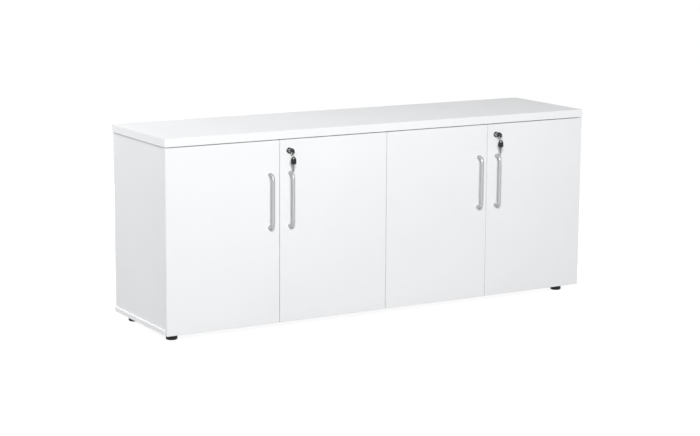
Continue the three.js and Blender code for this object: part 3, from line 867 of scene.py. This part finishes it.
def cam_bolt(number, door_front, place):
    """The bolt on the end of the plug's stub, its head towards the back."""
    plug = f"lock_{number}_plug"
    stub_end = door_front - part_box(plug)[1].y
    backwards = Matrix.Translation((0, 0, stub_end)) @ Matrix.Rotation(math.pi, 4, "X")
    mesh = turned(bolt_profile(), steps=HOLE_STEPS)
    bmesh.ops.transform(mesh, matrix=place @ backwards, verts=mesh.verts)
    bolt = piece_of(f"cam_bolt_{number}", mesh, bright_nickel)
    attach(bolt, frame["nodes"][plug]["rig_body"])


def keeper_screws(number):
    """Two screws up through the keeper's sheet into the top."""
    low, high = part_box(f"lock_{number}_keeper")
    middle = (low + high) / 2
    row = low.y + KEEPER_SCREW_FROM_FRONT
    underside = high.z - KEEPER_SHEET
    seats = [Vector((middle.x + side * KEEPER_SCREW_PITCH / 2, row, underside)) for side in (-1, 1)]
    screws(f"keeper_screws_{number}", "carcass", seats, (0, 0, -1))


for door, number in LOCK_OF_DOOR.items():
    door_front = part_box(f"door_{door}")[0].y
    place = lock_place(number, door_front)
    lock_case(number, door_front, place)
    lock_plug(number, door_front, place)
    lock_pressings(number)
    cam_bolt(number, door_front, place)
    keeper_screws(number)


# Keys. One key stands in each lock and its spare hangs from it on a sprung wire ring. A bow is
# black plastic moulded over the end of a stamped and plated blade with its cuts along one edge.
BOW_LENGTH = 28 * MM
BOW_HEIGHT = 21 * MM
BOW_THICKNESS = 3.2 * MM
BOW_NECK = 8 * MM
BOW_HOLE = 5.6 * MM
BOW_RIM = 3.2 * MM
BOW_EASING = 0.7 * MM
BOW_WAIST = BOW_LENGTH / 3
BOW_CURVE_STEPS = 10
BOW_STANDOFF = 8 * MM
BLADE_LENGTH = 27 * MM
BLADE_HEIGHT = 7 * MM
BLADE_THICKNESS = 1.8 * MM
BLADE_EASING = 0.15 * MM
KEY_EASING_STEPS = 3
BLADE_ROOT = 6 * MM
CUT_DEPTHS = (1.2 * MM, 0.5 * MM, 1.5 * MM, 0.8 * MM, 1.1 * MM)
CUT_PITCH = 3 * MM
RING_DIAMETER = 21 * MM
RING_WIRE = 0.62 * MM
RING_TURNS = 2
RING_STEPS = 144
WIRE_STEPS = 10
RING_DROP = 1.8 * MM
SPARE_DROP = 1.2 * MM
SPARE_TURN = math.radians(35)
KEY_BLACK_LOW = (0.014, 0.014, 0.015)
KEY_BLACK_HIGH = (0.026, 0.026, 0.028)
KEY_ROUGHNESS = (0.28, 0.4)
BLADE_LOW = (0.25, 0.25, 0.255)
BLADE_HIGH = (0.36, 0.36, 0.365)
BLADE_ROUGHNESS = (0.24, 0.36)

key_black = moulded_black("key_black", KEY_BLACK_LOW, KEY_BLACK_HIGH, KEY_ROUGHNESS)
blade_steel = plated_finish("blade_steel", BLADE_LOW, BLADE_HIGH, BLADE_ROUGHNESS)
bow_foot = ROSE_THICKNESS + BOW_STANDOFF
bow_end = bow_foot + BOW_LENGTH
bow_hole_at = bow_end - BOW_RIM - BOW_HOLE / 2
blade_tip = bow_foot - BLADE_LENGTH


def flat_solid(outline, thickness, easing):
    """A flat piece of an outline in (height, along) pairs, eased round its edges."""
    near_face = [(-thickness / 2, height, along) for height, along in outline]
    mesh = plate(near_face, (thickness, 0, 0))
    rims = []
    for edge in mesh.edges:
        first, last = edge.verts
        if abs(first.co.x - last.co.x) < thickness / 2:
            rims.append(edge)
    rounded(mesh, rims, easing, KEY_EASING_STEPS)
    return mesh


def bow_outline():
    """The bow's outline, from its neck round its broad end and back."""
    half = BOW_HEIGHT / 2
    neck = BOW_NECK / 2
    waist = bow_foot + BOW_WAIST
    outline = [(-neck, bow_foot)]
    for corner, end in (
        ((-half, bow_foot), (-half, waist)),
        ((-half, bow_end), (0, bow_end)),
        ((half, bow_end), (half, waist)),
        ((half, bow_foot), (neck, bow_foot)),
    ):
        outline += curve_points(outline[-1], corner, end, BOW_CURVE_STEPS)
    return outline


def blade_outline():
    """The blade's outline, from its root in the bow to its tip, with cuts along one edge."""
    edge = BLADE_HEIGHT / 2
    outline = [(edge, bow_foot + BLADE_ROOT), (edge, blade_tip + edge)]
    outline += [(0, blade_tip), (-edge, blade_tip + edge)]
    for index, depth in enumerate(CUT_DEPTHS):
        start = blade_tip + edge + index * CUT_PITCH
        outline += [(depth - edge, start + CUT_PITCH / 3), (depth - edge, start + 2 * CUT_PITCH / 3)]
        outline += [(-edge, start + CUT_PITCH)]
    return outline + [(-edge, bow_foot + BLADE_ROOT)]


def key(name, node, place):
    """A key at its place: the bow with its hole, and the blade moulded into it."""
    bow = piece_of(f"{name}_bow", flat_solid(bow_outline(), BOW_THICKNESS, BOW_EASING), key_black)
    start = Vector((-BOW_THICKNESS, 0, bow_hole_at))
    end = Vector((BOW_THICKNESS, 0, bow_hole_at))
    bore(bow, [cylinder(start, end, BOW_HOLE)])
    even_shading(bow)
    blade_mesh = flat_solid(blade_outline(), BLADE_THICKNESS, BLADE_EASING)
    blade = piece_of(f"{name}_blade", blade_mesh, blade_steel)
    for piece, slot in ((bow, "black_plastic"), (blade, "plated_steel")):
        piece.data.transform(place)
        stand_for(piece, node)


def ring_stations():
    """Stations of a sprung ring: close turns of wire about Z, each beside the last."""
    stations = []
    for step in range(RING_STEPS + 1):
        share = step / RING_STEPS
        angle = 2 * math.pi * RING_TURNS * share
        outwards = Vector((math.cos(angle), math.sin(angle), 0))
        climb = Vector((0, 0, (share - 0.5) * RING_WIRE))
        stations.append((outwards * RING_DIAMETER / 2 + climb, outwards, Vector((0, 0, 1))))
    return stations


for door, number in LOCK_OF_DOOR.items():
    in_lock = lock_place(number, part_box(f"door_{door}")[0].y)
    key(f"key_{number}", f"key_{number}", in_lock)
    hang = Matrix.Translation((0, -RING_DROP - RING_DIAMETER - SPARE_DROP - bow_hole_at, bow_hole_at))
    turn = Matrix.Rotation(SPARE_TURN, 4, "Y") @ Matrix.Rotation(-math.pi / 2, 4, "X")
    key(f"spare_{number}", f"spare_key_{number}", in_lock @ hang @ turn)
    mesh = round_bar(ring_stations(), RING_WIRE, WIRE_STEPS)
    ring_place = Matrix.Translation((0, -RING_DROP - RING_DIAMETER / 2, bow_hole_at))
    bmesh.ops.transform(mesh, matrix=in_lock @ ring_place, verts=mesh.verts)
    ring = piece_of(f"wire_ring_{number}", mesh, bright_nickel)
    stand_for(ring, f"key_ring_{number}")


# Camera. It stands at the front left, above the top, and looks down across the doors with a long
# lens, as the photograph does.
CAMERA_PLACE = Vector((-3.618, -6.035, 1.634))
CAMERA_YAW = math.radians(30.69)
CAMERA_PITCH = math.radians(10.4)
CAMERA_ROLL = math.radians(0.4)
CAMERA_LENS = 96.6

ahead = Vector((math.sin(CAMERA_YAW), math.cos(CAMERA_YAW), 0))
forward = ahead * math.cos(CAMERA_PITCH) - Vector((0, 0, math.sin(CAMERA_PITCH)))
level_right = Vector((math.cos(CAMERA_YAW), -math.sin(CAMERA_YAW), 0))
level_up = level_right.cross(forward)
right = level_right * math.cos(CAMERA_ROLL) + level_up * math.sin(CAMERA_ROLL)
up = level_up * math.cos(CAMERA_ROLL) - level_right * math.sin(CAMERA_ROLL)
lens = bpy.data.cameras.new("camera")
lens.lens = CAMERA_LENS
camera = bpy.data.objects.new("camera", lens)
axes = Matrix((right, up, -forward)).transposed().to_4x4()
camera.matrix_world = Matrix.Translation(CAMERA_PLACE) @ axes
bpy.context.scene.collection.objects.link(camera)
bpy.context.scene.camera = camera


# Studio. A plain pale floor runs out to a white surround. A soft lamp beside the camera is turned
# off to the right, so that near and far doors get much the same light. A second one stands behind
# on the left, weak ones on the right and at the back, and a dim left wall darkens the metal's edge.
FLOOR_REACH = 40
FLOOR_DROP = 0.2 * MM
FLOOR_PALE = (0.3, 0.3, 0.3)
FLOOR_GLOW = 0.93
ROOM_LIGHT = 0.27
ROOM_DIM = 0.05
DIM_SIDE = (-0.95, -0.6)
ROOM_WHITE = (1, 1, 1, 1)
FRONT_LAMP_PLACE = Vector((-2.4, -5.1, 3.0))
FRONT_LAMP_AIM = Vector((4.0, -1.0, 2.6))
FRONT_LAMP_SIZE = (1.8, 1.8)
FRONT_LAMP_POWER = 410
SIDE_LAMP_PLACE = Vector((-2.1, 1.4, 2.0))
SIDE_LAMP_AIM = Vector((-0.9, 0.1, 0.6))
SIDE_LAMP_SIZE = (2.6, 2.6)
SIDE_LAMP_POWER = 50
FILL_LAMP_PLACE = Vector((3.2, 0.4, 0.5))
FILL_LAMP_AIM = Vector((0.9, 0, 0.4))
FILL_LAMP_SIZE = (1.4, 0.7)
FILL_LAMP_POWER = 30
BACK_LAMP_PLACE = Vector((0.3, 3.2, 0.42))
BACK_LAMP_AIM = Vector((0, 0.25, 0.4))
BACK_LAMP_SIZE = (2.4, 0.6)
BACK_LAMP_POWER = 24


def larger(tree, first, second):
    """The larger of two levels."""
    node = tree.nodes.new("ShaderNodeMath")
    node.operation = "MAXIMUM"
    tree.links.new(first, node.inputs[0])
    tree.links.new(second, node.inputs[1])
    return node.outputs[0]


def seen_directly(tree):
    """One where a camera, glossy or transmitted ray arrives, else zero."""
    path = tree.nodes.new("ShaderNodeLightPath")
    level = path.outputs["Is Camera Ray"]
    for name in ("Is Glossy Ray", "Is Transmission Ray"):
        level = larger(tree, level, path.outputs[name])
    return level


def pale_floor():
    """A pale floor that glows a little when looked at: white where lit, and dimmer in shadow."""
    material = bpy.data.materials.new("pale_floor")
    material.use_nodes = True
    tree = material.node_tree
    tree.nodes.remove(tree.nodes["Principled BSDF"])
    matte = tree.nodes.new("ShaderNodeBsdfDiffuse")
    matte.inputs["Color"].default_value = (*FLOOR_PALE, 1)
    glow = tree.nodes.new("ShaderNodeEmission")
    strength = tree.nodes.new("ShaderNodeMath")
    strength.operation = "MULTIPLY"
    strength.inputs[1].default_value = FLOOR_GLOW
    both = tree.nodes.new("ShaderNodeAddShader")
    tree.links.new(seen_directly(tree), strength.inputs[0])
    tree.links.new(strength.outputs[0], glow.inputs["Strength"])
    tree.links.new(matte.outputs["BSDF"], both.inputs[0])
    tree.links.new(glow.outputs["Emission"], both.inputs[1])
    tree.links.new(both.outputs["Shader"], tree.nodes["Material Output"].inputs["Surface"])
    return material


def white_room():
    """Even room light, seen as white, with a dim left side that only shows in reflections."""
    world = bpy.data.worlds.new("white_room")
    world.use_nodes = True
    tree = world.node_tree
    ambient = tree.nodes["Background"]
    ambient.inputs["Color"].default_value = ROOM_WHITE
    ambient.inputs["Strength"].default_value = ROOM_LIGHT
    seen = tree.nodes.new("ShaderNodeBackground")
    seen.inputs["Color"].default_value = ROOM_WHITE
    place = tree.nodes.new("ShaderNodeTexCoord")
    axes = tree.nodes.new("ShaderNodeSeparateXYZ")
    tree.links.new(place.outputs["Generated"], axes.inputs["Vector"])
    shade = spread(tree, axes.outputs["X"], DIM_SIDE, (ROOM_DIM, 1))
    shade.interpolation_type = "SMOOTHSTEP"
    path = tree.nodes.new("ShaderNodeLightPath")
    level = larger(tree, shade.outputs["Result"], path.outputs["Is Camera Ray"])
    tree.links.new(level, seen.inputs["Strength"])
    mix = tree.nodes.new("ShaderNodeMixShader")
    tree.links.new(seen_directly(tree), mix.inputs["Fac"])
    tree.links.new(ambient.outputs["Background"], mix.inputs[1])
    tree.links.new(seen.outputs["Background"], mix.inputs[2])
    tree.links.new(mix.outputs["Shader"], tree.nodes["World Output"].inputs["Surface"])
    return world


def soft_lamp(name, place, aim, size, power):
    """A lamp with a broad face of so many metres, turned towards its aim."""
    lamp = bpy.data.lights.new(name, "AREA")
    lamp.shape = "RECTANGLE"
    lamp.size, lamp.size_y = size
    lamp.energy = power
    holder = bpy.data.objects.new(name, lamp)
    holder.location = place
    holder.rotation_euler = (aim - place).to_track_quat("-Z", "Y").to_euler()
    bpy.context.scene.collection.objects.link(holder)


floor_mesh = bmesh.new()
bmesh.ops.create_grid(floor_mesh, x_segments=1, y_segments=1, size=FLOOR_REACH)
floor = piece_of("floor", floor_mesh, pale_floor())
floor.location.z = -FLOOR_DROP
bpy.context.scene.world = white_room()
soft_lamp("front_lamp", FRONT_LAMP_PLACE, FRONT_LAMP_AIM, FRONT_LAMP_SIZE, FRONT_LAMP_POWER)
soft_lamp("side_lamp", SIDE_LAMP_PLACE, SIDE_LAMP_AIM, SIDE_LAMP_SIZE, SIDE_LAMP_POWER)
soft_lamp("fill_lamp", FILL_LAMP_PLACE, FILL_LAMP_AIM, FILL_LAMP_SIZE, FILL_LAMP_POWER)
soft_lamp("back_lamp", BACK_LAMP_PLACE, BACK_LAMP_AIM, BACK_LAMP_SIZE, BACK_LAMP_POWER)
bpy.context.scene.view_settings.view_transform = "Standard"
